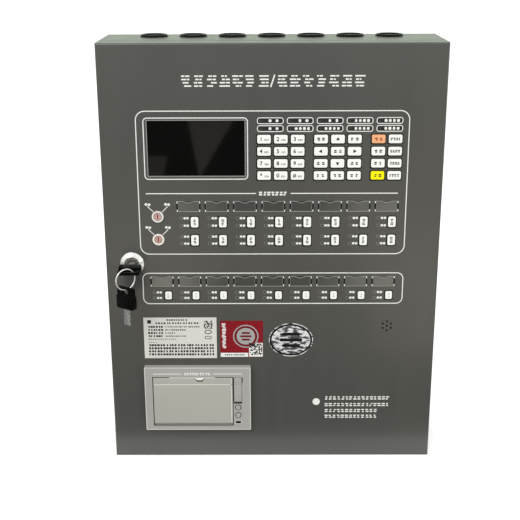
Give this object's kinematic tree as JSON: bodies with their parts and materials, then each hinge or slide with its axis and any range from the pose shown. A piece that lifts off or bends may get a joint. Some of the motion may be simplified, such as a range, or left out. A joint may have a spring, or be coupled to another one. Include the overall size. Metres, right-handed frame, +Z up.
{
  "type": "fire alarm control panel",
  "caption": "Wall-mounted fire alarm control panel: grey sheet-steel cabinet with hinged keyed door, screen, keypad, labelled button rows, strip printer, cable grommets and inner power parts.",
  "frame": {"origin": "centre of the cabinet's rear face, which is also the centre of the four wall fixings", "axes": "+X to the right seen from the front, +Y into the wall, +Z up; the door faces -Y"},
  "size_m": [0.4, 0.1563, 0.5226],
  "materials": {
    "painted_sheet": "satin powder-coat",
    "zinc_steel": "zinc plated",
    "bright_steel": "polished",
    "lock_chrome": "chrome plated",
    "lock_core": "nickel plated",
    "switch_core": "satin",
    "brass_stud": "plain",
    "seal_foam": "matt",
    "grommet_rubber": "smooth",
    "platen_rubber": "ground",
    "circuit_board": "solder resist",
    "components": "matt",
    "terminal_green": "matt",
    "battery_case": "matt",
    "lead_insulation": "matt",
    "breaker_plastic": "matt",
    "toggle_blue": "matt",
    "screen_trim": "satin",
    "screen_glass": "gloss",
    "black_plastic": "matt",
    "led_lens": "clear",
    "window_plastic": "clear",
    "label_silver": "matt film",
    "label_red": "gloss film",
    "label_oval": "metallic film",
    "key_white": "satin",
    "key_orange": "satin",
    "key_yellow": "satin",
    "key_black": "moulded",
    "printer_plastic": "fine texture",
    "printer_lid_plastic": "fine texture",
    "paper": "matt paper"
  },
  "bodies": {
    "cabinet": {"back_box": "painted_sheet", "door_seal": "seal_foam", "cable_grommets": "grommet_rubber", "hinge_box_leaves": "zinc_steel", "hinge_pins": "bright_steel", "chassis_plate": "zinc_steel", "main_board": "circuit_board", "board_components": "components", "terminal_blocks": "terminal_green", "chassis_screws": "bright_steel", "power_supply": "zinc_steel", "batteries": "battery_case", "battery_strap": "zinc_steel", "battery_leads": "lead_insulation", "din_rail": "zinc_steel", "mains_breaker": "breaker_plastic", "earth_stud": "brass_stud"},
    "breaker_toggle": {"breaker_toggle": "toggle_blue"},
    "door": {"door_panel": "painted_sheet", "hinge_door_leaves": "zinc_steel", "display_bezel": "screen_trim", "display_glass": "screen_glass", "display_module": "black_plastic", "keypad_board": "circuit_board", "linkage_boards": "circuit_board", "tact_switches": "components", "board_screws": "bright_steel", "indicator_leds": "led_lens", "label_windows": "window_plastic", "data_label": "label_silver", "red_label": "label_red", "oval_label": "label_oval", "buzzer": "black_plastic", "key_switch_bodies": "lock_chrome", "lock_barrel": "lock_chrome", "lock_nut": "zinc_steel", "printer_frame": "printer_plastic", "printer_mechanism": "black_plastic"},
    "numeric_keys": {"numeric_keys": "key_white"},
    "command_keys": {"command_keys": "key_white"},
    "reset_key": {"reset_key": "key_orange"},
    "silence_key": {"silence_key": "key_yellow"},
    "start_buttons": {"start_buttons": "key_white"},
    "stop_buttons": {"stop_buttons": "key_white"},
    "zone_buttons": {"zone_buttons": "key_white"},
    "upper_switch": {"upper_switch_rotor": "switch_core"},
    "lower_switch": {"lower_switch_rotor": "switch_core"},
    "lock_rotor": {"lock_plug": "lock_core", "lock_cam": "zinc_steel", "cam_screw": "zinc_steel", "door_key_blade": "bright_steel", "door_key_head": "key_black"},
    "key_ring": {"key_ring": "bright_steel"},
    "spare_key": {"spare_key_blade": "bright_steel", "spare_key_head": "key_black"},
    "printer_lid": {"printer_lid": "printer_lid_plastic"},
    "platen": {"platen_roller": "platen_rubber"},
    "paper_roll": {"paper_roll": "paper"},
    "printer_lever": {"printer_lever": "printer_plastic"},
    "printer_buttons": {"printer_buttons": "printer_plastic"}
  },
  "joints": [
    {"name": "door_hinge", "type": "hinge", "parent": "cabinet", "child": "door", "pos_m": [0.1964, -0.0885, 0], "axis": [0, 0, 1], "range_deg": [0, 100]},
    {"name": "breaker_switch", "type": "hinge", "parent": "cabinet", "child": "breaker_toggle", "pos_m": [-0.142, -0.062, -0.09], "axis": [1, 0, 0], "range_deg": [0, 50]},
    {"name": "numeric_press", "type": "slide", "parent": "door", "child": "numeric_keys", "axis": [0, 1, 0], "range_m": [0, 0.0008], "stiffness_N_per_m": 300},
    {"name": "command_press", "type": "slide", "parent": "door", "child": "command_keys", "axis": [0, 1, 0], "range_m": [0, 0.0008], "stiffness_N_per_m": 300},
    {"name": "reset_press", "type": "slide", "parent": "door", "child": "reset_key", "axis": [0, 1, 0], "range_m": [0, 0.0008], "stiffness_N_per_m": 300},
    {"name": "silence_press", "type": "slide", "parent": "door", "child": "silence_key", "axis": [0, 1, 0], "range_m": [0, 0.0008], "stiffness_N_per_m": 300},
    {"name": "start_press", "type": "slide", "parent": "door", "child": "start_buttons", "axis": [0, 1, 0], "range_m": [0, 0.0008], "stiffness_N_per_m": 300},
    {"name": "stop_press", "type": "slide", "parent": "door", "child": "stop_buttons", "axis": [0, 1, 0], "range_m": [0, 0.0008], "stiffness_N_per_m": 300},
    {"name": "zone_press", "type": "slide", "parent": "door", "child": "zone_buttons", "axis": [0, 1, 0], "range_m": [0, 0.0008], "stiffness_N_per_m": 300},
    {"name": "upper_switch_turn", "type": "hinge", "parent": "door", "child": "upper_switch", "pos_m": [-0.1357, -0.11, 0.0584], "axis": [0, -1, 0], "range_deg": [0, 90]},
    {"name": "lower_switch_turn", "type": "hinge", "parent": "door", "child": "lower_switch", "pos_m": [-0.1357, -0.11, 0.0302], "axis": [0, -1, 0], "range_deg": [0, 90]},
    {"name": "lock_turn", "type": "hinge", "parent": "door", "child": "lock_rotor", "pos_m": [-0.1685, -0.11, -0.0005], "axis": [0, -1, 0], "range_deg": [0, 90]},
    {"name": "key_ring_swing", "type": "hinge", "parent": "door", "child": "key_ring", "pos_m": [-0.16725, -0.1425, -0.0005], "axis": [0.7934, 0.6088, 0], "range_deg": [-8, 8]},
    {"name": "spare_key_swing", "type": "hinge", "parent": "key_ring", "child": "spare_key", "pos_m": [-0.17215, -0.14626, -0.0208], "axis": [-0.5446, -0.8387, 0], "range_deg": [-15, 15]},
    {"name": "printer_lid_hinge", "type": "hinge", "parent": "door", "child": "printer_lid", "pos_m": [-0.09885, -0.1123, -0.209], "axis": [1, 0, 0], "range_deg": [0, 75]},
    {"name": "platen_spin", "type": "hinge", "parent": "printer_lid", "child": "platen", "pos_m": [-0.0988, -0.1075, -0.156], "axis": [1, 0, 0], "continuous": true},
    {"name": "paper_spin", "type": "hinge", "parent": "door", "child": "paper_roll", "pos_m": [-0.0995, -0.088, -0.19], "axis": [1, 0, 0], "continuous": true},
    {"name": "printer_lever_tilt", "type": "hinge", "parent": "door", "child": "printer_lever", "pos_m": [-0.0427, -0.1115, -0.176], "axis": [1, 0, 0], "range_deg": [0, 12], "stiffness_Nm_per_rad": 0.08},
    {"name": "printer_press", "type": "slide", "parent": "door", "child": "printer_buttons", "axis": [0, 1, 0], "range_m": [0, 0.0008], "stiffness_N_per_m": 200}
  ]
}
